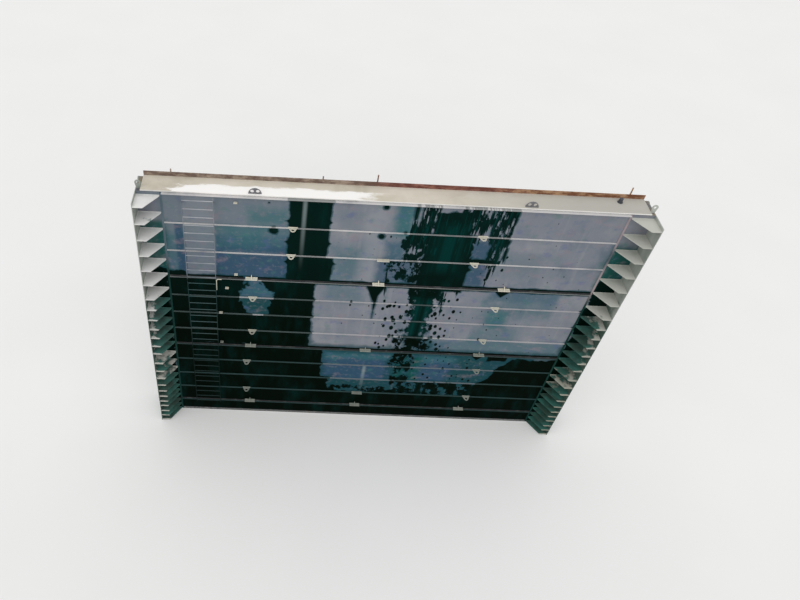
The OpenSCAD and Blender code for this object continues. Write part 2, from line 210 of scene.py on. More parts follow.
# A patch is a box on the face whose sides may lean. Depth is the distance in metres to its nearest
# edge, positive inside: the least of x' - left, right - x', z - foot and top - z, with
# x' = x - lean * (z - foot).
patch_group, given, result = shader_group(
    "leaning_patch",
    {"Place": "Vector", "Left": "Float", "Right": "Float", "Foot": "Float", "Top": "Float",
     "Lean": "Float"},
    {"Depth": "Float"})
x, _, z = given["Place"].split()
across = x - (z - given["Foot"]) * given["Lean"]
sideways = (across - given["Left"]).least(given["Right"] - across)
upright = (z - given["Foot"]).least(given["Top"] - z)
feed(patch_group, result.inputs["Depth"], sideways.least(upright))


def patch_depth(place, left, right, foot, top, lean=0.0):
    """The depth inside one patch, at a place."""
    inputs = {"Place": place, "Left": left, "Right": right, "Foot": foot, "Top": top, "Lean": lean}
    return use_group(place.tree, patch_group, inputs)["Depth"]


# Where the face is wet, as patches in metres: kind, left, right, foot, top, lean, raggedness.
# Sheets have ragged edges that widen at the levels of the lower ledges, drips hang in strings from
# their top, and splashes are broken up.
wet_patches = [
    ("sheet", -3.07, -1.87, 7.10, 10.80, 0.0, 0.05),
    ("sheet", -2.95, -1.66, 7.10, 8.24, 0.0, 0.05),
    ("drips", 0.55, 0.66, 9.30, 10.90, 0.0, 0.02),
    ("drips", 0.76, 1.30, 9.50, 10.90, 0.0, 0.05),
    ("sheet", 1.22, 2.30, 9.34, 10.22, 0.0, 0.12),
    ("drips", 1.90, 3.56, 9.45, 10.90, 0.0, 0.05),
    ("drips", 0.48, 1.20, 8.55, 9.50, 0.0, 0.08),
    ("splash", 0.36, 1.25, 8.28, 9.34, 0.0, 0.22),
    ("sheet", 1.12, 2.58, 8.20, 9.40, 0.0, 0.07),
    ("sheet", 2.40, 3.40, 8.26, 8.44, 0.0, 0.05),
    ("drips", 2.88, 3.56, 8.85, 9.60, 0.0, 0.06),
    ("splash", 0.10, 1.10, 7.50, 8.26, 0.0, 0.24),
    ("sheet", 1.08, 2.56, 7.00, 8.26, 0.0, 0.05),
    ("drips", 3.02, 3.40, 8.00, 8.80, 0.0, 0.05),
    ("drips", 3.50, 3.60, 8.30, 8.90, 0.0, 0.02),
    ("sheet", -6.85, -2.13, 4.00, 7.18, 0.0, 0.07),
    ("drips", 0.98, 2.50, 6.95, 7.60, 0.0, 0.08),
    ("splash", 0.98, 2.05, 6.35, 7.20, 0.0, 0.22),
    ("sheet", 1.20, 1.76, 6.30, 7.00, 0.0, 0.12),
    ("splash", 1.05, 1.85, 5.50, 6.45, 0.0, 0.20),
    ("sheet", 1.26, 1.66, 5.55, 6.40, 0.0, 0.10),
    ("splash", 0.92, 1.82, 4.62, 5.60, 0.0, 0.22),
    ("sheet", 1.26, 1.58, 4.70, 5.60, 0.0, 0.12),
    ("splash", 0.78, 2.00, 3.95, 4.72, 0.0, 0.22),
    ("sheet", 1.18, 1.72, 4.25, 4.78, 0.0, 0.12),
    ("drips", 0.06, 0.16, 6.90, 7.60, 0.0, 0.02),
    ("drips", 1.98, 2.12, 5.95, 6.60, 0.0, 0.02),
    ("sheet", -6.85, -1.58, 2.20, 3.92, 0.0, 0.12),
    ("sheet", -6.85, -1.20, 1.30, 2.30, -0.10, 0.16),
    ("splash", -1.30, 0.90, 1.30, 1.85, 0.0, 0.30),
    ("sheet", -7.00, 7.00, -0.20, 1.46, 0.0, 0.10),
    ("sheet", 3.72, 9.00, 1.40, 3.78, 0.62, 0.14),
    ("splash", 0.95, 1.60, 1.40, 3.92, 0.0, 0.30),
    ("splash", 1.00, 4.20, 1.40, 2.20, 0.0, 0.26),
    ("sheet", 4.30, 5.00, 3.60, 3.92, 0.0, 0.10),
    # These two full-width bands along the section joints are painted dark: partly damp on the face,
    # partly painted shade of the recessed joints
    ("sheet", -7.00, 7.00, 3.86, 4.04, 0.0, 0.03),
    ("sheet", -7.00, 7.00, 7.10, 7.28, 0.0, 0.02),
    ("sheet", -6.85, -6.20, 7.10, 7.42, 0.0, 0.10),
    ("sheet", -7.60, -6.79, -0.20, 7.50, 0.0, 0.12),
    ("sheet", 6.79, 7.60, -0.20, 7.80, 0.0, 0.16),
]
# Dry islands in the wet: left, right, foot, top, lean, raggedness
dry_patches = [
    (-4.40, -3.86, 6.60, 7.12, 0.0, 0.07),
    (-4.54, -3.72, 6.10, 6.78, 0.0, 0.08),
    (-4.10, -3.48, 6.15, 6.68, 0.0, 0.09),
    (-4.34, -3.62, 5.60, 6.20, 0.0, 0.08),
    (2.62, 2.84, 8.56, 9.20, 0.0, 0.08),
]
# Narrowing drips under the seam plates: middle, half width, top, tip
drip_wedges = [
    (-0.17, 0.34, 7.18, 6.38),
    (-0.12, 0.08, 6.90, 5.60),
    (3.91, 0.32, 7.18, 6.85),
    (3.90, 0.30, 3.92, 3.62),
]
# Small round blots: middle x, middle z, radius
blots = [(-3.52, 9.25, 0.14), (-3.68, 10.26, 0.07), (-0.30, 10.30, 0.08), (-0.30, 9.18, 0.08),
         (0.39, 9.36, 0.08)]
# Where drops have left spots: left, right, foot, top, and the share of cells that have one
spot_zones = [
    (0.00, 1.40, 3.80, 6.60, 1.05),
    (1.60, 2.90, 3.80, 6.90, 0.95),
    (-0.20, 1.20, 7.10, 9.30, 0.80),
    (2.90, 4.00, 7.20, 8.80, 0.70),
    (3.50, 4.60, 4.00, 5.60, 0.45),
    (-1.20, 0.00, 5.90, 6.60, 0.50),
    (0.80, 4.20, 1.30, 3.90, 0.45),
    (-2.00, 6.50, 4.00, 10.20, 0.12),
]


def deepest(areas):
    """The greatest of several fields at each place."""
    return functools.reduce(Field.most, areas)


# The ledges of the lower and middle sections stand a quarter of a section apart
ledge_spaces = 4
ledge_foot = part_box("lower_skin")[0].z
ledge_pitch = (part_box("middle_skin")[0].z - ledge_foot) / ledge_spaces

water_group, given, result = shader_group(
    "face_water", {"Place": "Vector"}, {"Wet": "Float", "Damp": "Float", "Murk": "Float"})
x, _, z = given["Place"].split()
flat_place = joined(x, 0.0, z)
ragged_edge = (noise(flat_place, 1.7, 6.0, 0.62) - 0.5) * 4.0
# A drip place moves a point up or down by a length that changes only from one string to the next
drip_strings = noise(joined(x * 7.0, 0.0, z * 0.05), 1.0, 4.0, 0.6)
drip_place = joined(x, 0.0, z + (drip_strings - 0.5) * 3.2)
drip_gaps = 0.13 - (noise(joined(x * 8.0, 4.0, z * 1.5), 1.0, 5.0, 0.65) - 0.5) * 2.0
splash_gaps = (noise(joined(x * 3.4, 7.0, z * 2.4), 1.0, 5.0, 0.68) - 0.48) * 1.6
ledge_phase = ((z - ledge_foot) * (1 / ledge_pitch)).math("FRACT")
near_ledge = ((ledge_phase - 0.5).math("ABSOLUTE") * 2.0).math("POWER", 7.0)
areas = []
for kind, left, right, foot, top, lean, ragged in wet_patches:
    patch_place = drip_place if kind == "drips" else flat_place
    area = patch_depth(patch_place, left, right, foot, top, lean)
    if kind == "sheet":
        area = area + near_ledge * 0.10
    if kind == "drips":
        area = area.least(drip_gaps)
    if kind == "splash":
        area = area.least(splash_gaps)
    areas.append(area + ragged_edge * ragged)
depth = deepest(areas)
# The dry islands are cut out of the wet, at a place that slow noise bends so that none is square
bend_across = (noise(joined(x, 5.0, z), 1.9, 3.0, 0.5) - 0.5) * 1.1
bend_up = (noise(joined(x, 8.0, z), 1.9, 3.0, 0.5) - 0.5) * 1.1
bent_place = joined(x + bend_across, 0.0, z + bend_up)
for left, right, foot, top, lean, ragged in dry_patches:
    area = patch_depth(bent_place, left, right, foot, top, lean)
    depth = depth.least((area + ragged_edge * ragged) * -1.0)
# A drip's half width grows in proportion to the height above its tip
for middle, half_width, top, tip in drip_wedges:
    narrowing = (z - tip) * (half_width / (top - tip)) - (x - middle).math("ABSOLUTE")
    depth = depth.most(narrowing.least(top - z).least(z - tip) + ragged_edge * 0.02)
for middle, height, radius in blots:
    distance = ((x - middle) * (x - middle) + (z - height) * (z - height)).math("SQRT")
    depth = depth.most(radius - distance + ragged_edge * 0.06)
# Spots: at most one drop to a cell of the plane, drawn a little down. A cell has one where its
# chance and the zone's share add up to more than 1, and the excess gives its size.
spot_place = joined(x, z * 0.66, 0.0)
cells = {"Vector": spot_place, "Scale": 4.6, "Randomness": 1.0}
flat_cells = {"voronoi_dimensions": "2D"}
spot_distance = add_node(water_group, "ShaderNodeTexVoronoi", cells, **flat_cells)
cell_colour = add_node(water_group, "ShaderNodeTexVoronoi", cells, output="Color", **flat_cells)
spot_chance = cell_colour.split()[0]
blotted = noise(spot_place, 26.0, 3.0, 0.6) * 0.12
drops = []
for left, right, foot, top, share in spot_zones:
    room = patch_depth(flat_place, left, right, foot, top)
    excess = (spot_chance + room.rise(-0.1, 0.4) * share - 1.0).most(0.0).math("SQRT")
    drops.append((excess * 0.38 - spot_distance + blotted - 0.09) * 0.22)
spots = deepest(drops)
feed(water_group, result.inputs["Wet"], depth.rise(-0.012, 0.026).most(spots.rise(-0.008, 0.012)))
# The damp fringe is a hand wide high up, and reaches further where the face seldom dries
fringe = (depth + ragged_edge * 0.04) * (z.rise(3.6, 7.4) * 12.0 + 3.5) + 1.0
feed(water_group, result.inputs["Damp"], fringe.rise(0.0, 1.0))
# Murk is where the film shows brighter green: in faint clouds, down two leaks and in fine strings
murk = noise(joined(x * 1.6, 2.0, z * 0.5), 1.0, 4.0, 0.6).rise(0.46, 0.78) * 0.5
high_glow = patch_depth(flat_place, left=1.10, right=2.50, foot=7.60, top=10.0)
low_glow = patch_depth(flat_place, left=0.95, right=2.00, foot=4.50, top=6.80) + ragged_edge * 0.15
glow = (high_glow.rise(0.0, 0.6) * 0.9).most(low_glow.rise(0.0, 0.45) * 1.2)
strings = noise(joined(x * 11.0, 6.0, z * 0.9), 1.0, 4.0, 0.65).rise(0.50, 0.68)
strung_part = patch_depth(flat_place, left=0.40, right=3.80, foot=8.50, top=10.8)
strung = strung_part.rise(-0.1, 0.2) * strings * 1.5
feed(water_group, result.inputs["Murk"], murk.most(glow * drip_strings.rise(0.2, 0.7)).most(strung))

# Old paint: broad clouds between a lighter and a darker shade of its colour, pale runs that
# gravity drew straight down, and a fine grain. Grain and clouds together give the bump.
paint_group, given, result = shader_group(
    "old_paint",
    {"Place": "Vector", "Colour": "Color", "Light": "Color", "Dark": "Color", "Runs": "Float"},
    {"Colour": "Color", "Roughness": "Float", "Height": "Float"})
x, y, z = given["Place"].split()
clouds = noise(given["Place"], 0.8, 6.0, 0.58)
strings = noise(joined(x * 5.0, y * 5.0, z * 0.30), 1.0, 4.0, 0.6)
grain = noise(given["Place"], 24.0, 4.0, 0.7)
shade = mixed(clouds.rise(0.48, 0.76), given["Colour"], given["Light"])
shade = mixed((1.0 - clouds).rise(0.50, 0.74), shade, given["Dark"])
shade = mixed(strings.rise(0.50, 0.78) * given["Runs"], shade, given["Light"])
shade = mixed(grain.rise(0.55, 0.85) * 0.35, shade, given["Dark"])
feed(paint_group, result.inputs["Colour"], shade)
feed(paint_group, result.inputs["Roughness"], clouds * 0.25 + 0.55)
feed(paint_group, result.inputs["Height"], grain + clouds)


def old_paint(place, colour, light, dark, runs):
    """The colour, roughness and height of old paint in one shade, with a lighter and a darker one
    for its clouds and the strength of its runs."""
    inputs = {"Place": place, "Colour": colour, "Light": light, "Dark": dark, "Runs": runs}
    return use_group(place.tree, paint_group, inputs)


# Shades that damp and age have given the dry paint, and where each one lies: shade, strength, left,
# right, foot, top, softness of the edge
haze, pale, steel_blue = tone(108, 118, 127), tone(137, 142, 149), tone(78, 105, 115)
sea_blue, slate, teal = tone(57, 91, 107), tone(50, 78, 100), tone(54, 101, 107)
algae, murky = tone(18, 77, 71), tone(30, 69, 74)
paint_tints = [
    (haze, 0.9, -6.9, -3.0, 9.34, 10.8, 0.2),
    (steel_blue, 0.9, -6.9, -3.0, 8.85, 9.34, 0.2),
    (sea_blue, 0.9, -6.9, -3.0, 8.28, 8.95, 0.3),
    (slate, 0.95, -6.9, -3.0, 7.00, 8.28, 0.2),
    (slate, 0.7, -5.2, -3.0, 8.28, 8.60, 0.3),
    (haze, 0.8, -6.9, -6.44, 8.85, 9.34, 0.1),
    (steel_blue, 0.8, -6.9, -6.3, 7.30, 8.95, 0.3),
    (algae, 0.85, -7.6, -6.72, 7.20, 9.40, 0.3),
    (algae, 0.95, 6.72, 7.6, 7.40, 9.20, 0.4),
    (pale, 0.6, -6.16, -5.26, 7.20, 10.8, 0.08),
    (teal, 0.7, -4.3, -3.1, 9.40, 10.0, 0.5),
    (teal, 0.5, -4.9, -3.8, 8.50, 9.30, 0.6),
    (slate, 0.8, -6.44, -6.22, 7.30, 9.34, 0.1),
    (haze, 0.6, -1.6, -0.85, 9.36, 10.1, 0.3),
    (steel_blue, 0.8, -1.7, -0.75, 7.20, 8.66, 0.6),
    (pale, 0.6, -0.75, -0.20, 7.30, 10.8, 0.6),
    (slate, 0.75, -0.30, 1.00, 7.20, 8.28, 0.3),
    (sea_blue, 0.8, -0.10, 0.50, 8.28, 9.00, 0.4),
    (slate, 0.9, 2.45, 3.20, 7.25, 9.25, 0.3),
    (teal, 0.9, 0.02, 0.60, 9.20, 10.9, 0.4),
    (haze, 0.8, 3.4, 4.8, 7.80, 8.80, 0.6),
    (steel_blue, 0.6, -1.80, -0.60, 6.40, 7.15, 0.5),
    (sea_blue, 0.7, 3.50, 5.80, 6.62, 7.15, 0.4),
    (steel_blue, 0.6, 3.40, 5.80, 5.90, 6.70, 0.5),
    (teal, 0.8, 3.70, 4.40, 5.30, 6.20, 0.4),
    (sea_blue, 0.8, 1.60, 2.80, 3.90, 4.62, 0.4),
    (steel_blue, 0.8, 2.80, 6.70, 4.00, 4.70, 0.4),
    (steel_blue, 0.6, 3.40, 5.00, 4.60, 5.40, 0.5),
    (slate, 1.0, -1.9, 6.00, 1.30, 3.88, 0.15),
    (teal, 0.7, -1.6, 4.80, 3.40, 3.92, 0.3),
    (algae, 1.0, 1.00, 1.95, 2.20, 3.92, 0.4),
    (murky, 0.9, 3.10, 6.00, 1.30, 3.88, 0.5),
    (murky, 0.95, -1.6, 4.60, 1.30, 2.28, 0.2),
    (murky, 1.0, -4.6, -3.3, 5.20, 6.45, 0.2),
    (sea_blue, 1.0, -4.6, -3.3, 6.40, 7.20, 0.2),
]
dry_paint = tone(122, 127, 136)
dry_light = tone(140, 141, 147)
dry_dark = tone(98, 110, 122)
damp_paint = tone(26, 66, 74)
skin_paint, tree, shader, place = new_material("skin_paint", specular=0.01)
x, y, z = place.split()
# The water film is dark green high up and all but black near the foot
wet_black = mixed(z.rise(4.5, 9.5), tone(2, 11, 5), tone(5, 27, 23))
wet_green = tone(4, 50, 47)
flat_place = joined(x, 0.0, z)
tint_noise = (noise(flat_place, 1.2, 4.0, 0.6) - 0.5) * 1.6
paint = old_paint(place, dry_paint, dry_light, dry_dark, runs=0.6)
colour = paint["Colour"]
for shade, strength, left, right, foot, top, soft in paint_tints:
    area = patch_depth(flat_place, left, right, foot, top) + tint_noise * soft
    colour = mixed(area.rise(-soft / 2, soft / 2) * strength, colour, shade)
# Faint colour casts a hand to an arm wide: green, rose and blue
casts = [(0.0, tone(66, 118, 108)), (9.0, tone(142, 124, 134)), (21.0, tone(84, 96, 140))]
for offset, cast in casts:
    cast_noise = noise(joined(x, offset, z * 1.4), 2.2, 4.0, 0.6)
    colour = mixed(cast_noise.rise(0.54, 0.74) * 0.42, colour, cast)
colour = mixed(noise(flat_place, 7.0, 3.0).rise(0.52, 0.78) * 0.25, colour, dry_light)
water = use_group(tree, water_group, {"Place": place})
colour = mixed(water["Damp"] * 0.8, colour, damp_paint)
colour = mixed(water["Wet"], colour, mixed(water["Murk"], wet_black, wet_green))
# Pale runs of lime that cross the wet: left, right, foot, top
lime_runs = [(-2.70, -2.58, 7.5, 10.60), (-0.08, 0.04, 1.45, 3.08)]
lime = tone(140, 156, 156)
for left, right, foot, top in lime_runs:
    run = patch_depth(flat_place, left, right, foot, top)
    fade = (z - foot).rise(0.0, (top - foot) * 0.9)
    colour = mixed(run.rise(-0.04, 0.05) * fade * 0.55, colour, lime)
# The back of the sheet is dark like the girders, and the leaks don't show there. The change lies
# inside the 12 mm plate.
face_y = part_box("upper_skin")[0].y
behind = y.rise(face_y + 0.002, face_y + 0.006)
back_paint = old_paint(
    place, tone(88, 91, 98), light=tone(112, 115, 120), dark=tone(60, 68, 70), runs=0.7)
colour = mixed(behind, colour, back_paint["Colour"])
roughness = paint["Roughness"] - water["Wet"] * (1.0 - behind) * 0.35
finish_shader(tree, shader, colour, roughness, paint["Height"], depth=0.0015)
dress(skin_paint, "upper_skin", "middle_skin", "lower_skin", "sill_skin")

# Ledges and edge bars
# Flat bars welded edge-on to the face in front of each girder, with upright bars at the face's
# two edges. Their pale topcoat is dulled where water runs over them.

ledge_paint, tree, shader, place = new_material("ledge_paint", specular=0.2)
paint = old_paint(
    place, tone(196, 194, 194), light=tone(214, 210, 208), dark=tone(156, 156, 160), runs=0.3)
water = use_group(tree, water_group, {"Place": place})
_, _, z = place.split()
below_upper = z.fall(6.9, 7.3)
below_middle = z.fall(3.85, 3.95)
colour = mixed(below_upper * 0.45, paint["Colour"], tone(132, 134, 142))
colour = mixed(below_middle * 0.75, colour, tone(66, 88, 98))
colour = mixed(water["Wet"] * (below_upper * 0.35 + 0.50), colour, tone(24, 58, 54))
finish_shader(tree, shader, colour, paint["Roughness"], paint["Height"], depth=0.001)
dress(ledge_paint, "face_ledges")

# The edge bars are blue-grey on the left and rosy grey on the right, and green below
edge_bar_paint, tree, shader, place = new_material("edge_bar_paint", specular=0.1)
x, _, z = place.split()
right_side = x.rise(-1.0, 1.0)
bar_colour = mixed(right_side, tone(84, 102, 112), tone(150, 138, 142))
bar_light = mixed(right_side, tone(110, 124, 132), tone(172, 156, 158))
paint = old_paint(place, bar_colour, bar_light, dark=tone(78, 88, 96), runs=0.4)
colour = mixed((z + right_side * 0.6).fall(7.2, 8.2), paint["Colour"], tone(14, 52, 46))
finish_shader(tree, shader, colour, paint["Roughness"], paint["Height"], depth=0.001)
dress(edge_bar_paint, "face_edge_bars")


def node_points(name):
    """The corners of a CAD node's mesh as an array, one row for each."""
    mesh = cad_nodes[name].data
    points = np.empty(len(mesh.vertices) * 3, np.float32)
    mesh.vertices.foreach_get("co", points)
    return points.reshape(-1, 3)


def plate_spans(name, axis):
    """The low and high sides of the flat plates in a node that lie apart along an axis."""
    return np.unique(node_points(name)[:, axis].round(4)).reshape(-1, 2)


def weld_bead(start, end, out, up, leg, ripple):
    """A fillet weld in the corner between two plates: a quarter circle between the directions out
    and up, carried from start to end, whose radius swells and shrinks by an eighth at every ripple.
    Its root lies a little inside the corner."""
    bite, swell = 0.001, 0.125
    start, end, out, up = (np.array(v, float) for v in (start, end, out, up))
    rows = 2 * max(2, round(np.linalg.norm(end - start) / ripple)) + 1
    radius = leg * (1 + swell * np.cos(np.pi * np.arange(rows)))
    angle = np.linspace(0, np.pi / 2, 4)
    quarter = np.cos(angle)[:, None] * out + np.sin(angle)[:, None] * up
    root = np.broadcast_to(-bite * (out + up), (rows, 1, 3))
    spine = start + np.linspace(0, 1, rows)[:, None] * (end - start)
    return np.concatenate([radius[:, None, None] * quarter, root], axis=1) + spine[:, None]


def add_object(name, data):
    """An object with the given mesh, lamp or camera, in the scene and at its origin."""
    thing = bpy.data.objects.new(name, data)
    bpy.context.scene.collection.objects.link(thing)
    return thing


def make_piece(name, tubes, material):
    """One object out of closed tubes. A tube is an array of rings x corners x 3: neighbouring rings
    are joined by four-sided faces and the two end rings are closed by one flat face each. Edges
    that turn by more than the crease angle are sharp."""
    crease = math.radians(35)
    points, faces, start = [], [], 0
    for rings in tubes:
        rows, columns = rings.shape[:2]
        ring = start + np.arange(rows)[:, None] * columns + np.arange(columns)
        after = np.roll(ring, -1, axis=1)
        sides = np.stack([ring[:-1], after[:-1], after[1:], ring[1:]], axis=-1)
        faces += sides.reshape(-1, 4).tolist() + [ring[0, ::-1].tolist(), ring[-1].tolist()]
        points.append(rings.reshape(-1, 3))
        start += rows * columns
    mesh = bpy.data.meshes.new(name)
    mesh.from_pydata(np.concatenate(points), [], faces)
    shell = bmesh.new()
    shell.from_mesh(mesh)
    bmesh.ops.recalc_face_normals(shell, faces=shell.faces)
    shell.to_mesh(mesh)
    shell.free()
    mesh.polygons.foreach_set("use_smooth", np.ones(len(mesh.polygons), bool))
    mesh.set_sharp_from_angle(angle=crease)
    mesh.materials.append(material)
    piece = add_object(name, mesh)
    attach(piece, "root")
    return piece


front, upward = (0, -1, 0), (0, 0, 1)


def face_weld(start_x, end_x, top, leg, ripple):
    """A bead along x in the corner between the face and the top of a plate that stands out of it."""
    return weld_bead((start_x, face_y, top), (end_x, face_y, top), front, upward, leg, ripple)


ledge_low, ledge_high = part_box("face_ledges")
section_tops = [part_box(section + "_skin")[1].z for section in ("sill", "lower", "middle")]
# A seal covers the top of the ledges that end a section, so only the others show a weld there
ledge_tops = [
    top for _, top in plate_spans("face_ledges", 2)
    if min(abs(top - end) for end in section_tops) > 0.01]
make_piece("ledge_welds", [
    face_weld(ledge_low.x, ledge_high.x, top, leg=0.008, ripple=0.09)
    for top in ledge_tops], ledge_paint)

# Ring lugs
# Round-headed tongues of 20 mm plate with a burned eye, laid on a ledge and welded to the face.
# The sections are steadied by shackles in them. Their cream paint is rubbed to rust in places.

# Rust: brown blooms with a rough crust, where noise rises above a level that amount lowers
rust_group, given, result = shader_group(
    "rust", {"Place": "Vector", "Amount": "Float"},
    {"Mask": "Float", "Colour": "Color", "Height": "Float"})
blooms = noise(given["Place"], 2.6, 9.0, 0.68)
crust = noise(given["Place"], 38.0, 6.0, 0.75)
mask = (blooms + given["Amount"] * 0.5).rise(0.66, 0.80)
feed(rust_group, result.inputs["Mask"], mask)
feed(rust_group, result.inputs["Colour"], mixed(crust, tone(84, 52, 34), tone(158, 100, 58)))
feed(rust_group, result.inputs["Height"], mask * crust)


def rust_on(place, amount):
    """The mask, colour and height of rust on a piece, for an amount from about -0.1 to 0.2."""
    return use_group(place.tree, rust_group, {"Place": place, "Amount": amount})


def finish_rusty(tree, shader, colour, paint, rust, strength, depth):
    """Finishes a shader as old paint that rust breaks through, up to the given strength."""
    colour = mixed(rust["Mask"] * strength, colour, rust["Colour"])
    finish_shader(tree, shader, colour, paint["Roughness"], paint["Height"] + rust["Height"], depth)


lug_paint, tree, shader, place = new_material("lug_paint", specular=0.2)
paint = old_paint(
    place, tone(214, 209, 192), light=tone(232, 228, 214), dark=tone(172, 168, 156), runs=0.2)
rust = rust_on(place, amount=0.02)
_, _, z = place.split()
# The lugs are duller on the middle section, and duller still on the lower one
dimmed = z.fall(3.9, 7.2) * 0.35 + z.fall(4.2, 4.5) * 0.35
colour = mixed(dimmed, paint["Colour"], tone(76, 94, 92))
finish_rusty(tree, shader, colour, paint, rust, strength=0.7, depth=0.001)
ring_lug_nodes = ("upper_ring_lugs", "middle_ring_lugs", "lower_ring_lugs")
dress(lug_paint, *ring_lug_nodes)


def pair_spans(name):
    """The low and high x of the feet of two lugs, the left one's and the right one's."""
    xs = node_points(name)[:, 0]
    return [(xs.min(), xs[xs < 0].max()), (xs[xs > 0].min(), xs.max())]


make_piece("ring_lug_welds", [
    face_weld(start, end, top, leg=0.012, ripple=0.03)
    for name in ring_lug_nodes for start, end in pair_spans(name)
    for _, top in plate_spans(name, 2)], lug_paint)

# Seam plates
# Short shelves at the foot of each hanging section, most with an upright rib above them. They
# are cut from 20 mm plate, welded to the face, and carry pins when the sections are stacked.

dress(lug_paint, "seam_plates")
shelf_thickness = 0.020
joint_levels = np.unique(node_points("joint_seals")[:, 2].round(4)).reshape(-1, 3)
# Along x each column of plates has four sides: the shelf's, the rib's two and the shelf's again
shelf_sides = np.unique(node_points("seam_plates")[:, 0].round(4)).reshape(-1, 4)
make_piece("seam_plate_welds", [
    face_weld(start, end, top, leg=0.012, ripple=0.03)
    for top in joint_levels[:, 2] + shelf_thickness
    for outer_left, rib_left, rib_right, outer_right in shelf_sides
    for start, end in ((outer_left, rib_left), (rib_right, outer_right))], lug_paint)

# End brackets
# Tapered plates that carry the load from the face out to the end plates, stacked closer
# towards the foot. Their pale grey paint is green with damp lower down, and their undersides carry
# painted shade, near-black.


def facing_up(tree):
    """How far a face looks up: the z of its normal, 1 on top of a level plate and -1 under it."""
    return Field(tree, tree.nodes.new("ShaderNodeNewGeometry").outputs["Normal"]).split()[2]


bracket_low, bracket_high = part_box("upper_right_brackets")
bracket_paint, tree, shader, place = new_material("bracket_paint", specular=0.02)
x, y, z = place.split()
paint = old_paint(
    place, tone(226, 226, 224), light=tone(242, 241, 238), dark=tone(188, 190, 186), runs=0.2)
rust = rust_on(place, amount=-0.02)
# Faces that look down get painted shade: further down, the colour is mixed towards near-black green
# there
painted_underside_shade = (facing_up(tree) * -1.0).rise(0.2, 0.7)
blotches = noise(joined(x * 1.8, y * 1.8, z * 2.4), 1.0, 5.0, 0.62)
# The plates are green below the upper section. Their front edges stay pale there, and so do their
# outer ends on the middle section and the first few plates of the lower one.
pale_ends = x.math("ABSOLUTE").rise(7.1, 7.4) * z.rise(3.6, 4.2) * 0.30
pale_few = z.rise(2.35, 2.55) * z.fall(3.5, 4.1) * 0.26
below_upper = z.fall(5.6, 7.0)
behind_land = (y - bracket_low.y).rise(0.0, 0.08) * 0.46
greenness = below_upper * (behind_land - pale_ends - pale_few + 0.08) - 0.08
green = (blotches + greenness).rise(0.60, 0.72)
green_shade = mixed(blotches.rise(0.4, 0.6), tone(4, 60, 52), tone(12, 100, 90))
colour = mixed(x.rise(0.0, 1.0) * 0.75, paint["Colour"], tone(176, 178, 166))
colour = mixed(z.fall(2.0, 7.4) * 0.5, colour, tone(162, 156, 136))
colour = mixed(green * 0.9, colour, green_shade)
colour = mixed(rust["Mask"] * 0.4, colour, rust["Colour"])
# Painted shade on the undersides
colour = mixed(painted_underside_shade * 0.75, colour, tone(14, 40, 34))
finish_shader(tree, shader, colour, paint["Roughness"], paint["Height"] + rust["Height"], depth=0.001)
bracket_nodes = [
    f"{section}_{side}_brackets"
    for section in ("upper", "middle", "lower") for side in ("left", "right")]
dress(bracket_paint, *bracket_nodes, "sill_bracket_plates")

# One bead runs along the face and the other along the end plate, and they meet in the corner
bracket_beads = []
for name in [*bracket_nodes, "sill_bracket_plates"]:
    sides = [-1] if "_left_" in name else [1] if "_right_" in name else [-1, 1]
    for side in sides:
        for _, top in plate_spans(name, 2):
            corner = (side * bracket_high.x, face_y, top)
            nose = (side * bracket_low.x, face_y, top)
            land = (side * bracket_high.x, bracket_low.y, top)
            for start, out in ((nose, front), (land, (-side, 0, 0))):
                bracket_beads.append(weld_bead(start, corner, out, upward, leg=0.010, ripple=0.05))
make_piece("bracket_welds", bracket_beads, bracket_paint)

# End plates
# Tall 20 mm plates that close each section at its two ends, from the front of the brackets to
# the flanges. Their grey paint is paler above and green where water gathers.

end_paint, tree, shader, place = new_material("end_plate_paint", specular=0.2)
_, y, z = place.split()
paint = old_paint(
    place, tone(156, 161, 154), light=tone(184, 188, 180), dark=tone(108, 120, 114), runs=0.8)
rust = rust_on(place, amount=0.0)
seep = noise(joined(y * 2.2, 0.0, z * 1.1), 1.0, 5.0, 0.62)
green = (seep + z.fall(4.0, 9.6) * 0.42).rise(0.58, 0.82)
green_shade = mixed(seep.rise(0.35, 0.65), tone(14, 54, 46), tone(58, 88, 76))
colour = mixed(green * 0.85, paint["Colour"], green_shade)
finish_rusty(tree, shader, colour, paint, rust, strength=0.6, depth=0.0015)
dress(end_paint, "left_end_plates", "right_end_plates", "deck_end_lugs")

# Girders
# Level webs and upright flanges of rolled plate with diaphragms between them, welded into an
# egg-crate on the wet side. Dark epoxy, with silt on what faces up and rust along the runs.

girder_paint, tree, shader, place = new_material("girder_paint", specular=0.2)
x, y, z = place.split()
paint = old_paint(
    place, tone(104, 106, 114), light=tone(134, 136, 142), dark=tone(66, 74, 78), runs=0.7)
rust = rust_on(place, amount=0.06)
silt = facing_up(tree).rise(0.3, 0.9) * noise(place, 3.0, 5.0, 0.6).rise(0.30, 0.55)
slime_noise = noise(joined(x * 1.6, y, z * 0.7), 1.0, 5.0, 0.6)
slime = (slime_noise + z.fall(7.0, 9.8) * 0.16).rise(0.52, 0.70)
colour = mixed(slime * 0.7, paint["Colour"], tone(58, 78, 58))
colour = mixed(silt * 0.85, colour, tone(132, 122, 100))
finish_rusty(tree, shader, colour, paint, rust, strength=0.85, depth=0.002)
dress(girder_paint, *[
    f"{section}_{plate}" for section in ("upper", "middle", "lower", "sill")
    for plate in ("webs", "flanges", "diaphragms")], "deck_bearers")

# Seals
# Black rubber strips along the two ends, along the foot and in the joints between sections. The
# end and foot strips have a round bulb and are held down by steel bars, bolted along the foot.

rubber, tree, shader, place = new_material("seal_rubber", specular=0.3)
x, y, z = place.split()
scuffs = noise(joined(x * 3.0, y * 3.0, z * 1.2), 1.0, 6.0, 0.65)
bloom = noise(place, 60.0, 3.0, 0.6)
colour = mixed(scuffs.rise(0.48, 0.72), tone(30, 31, 33), tone(74, 76, 76))
finish_shader(tree, shader, colour, scuffs * 0.3 + 0.5, bloom + scuffs, depth=0.0008)

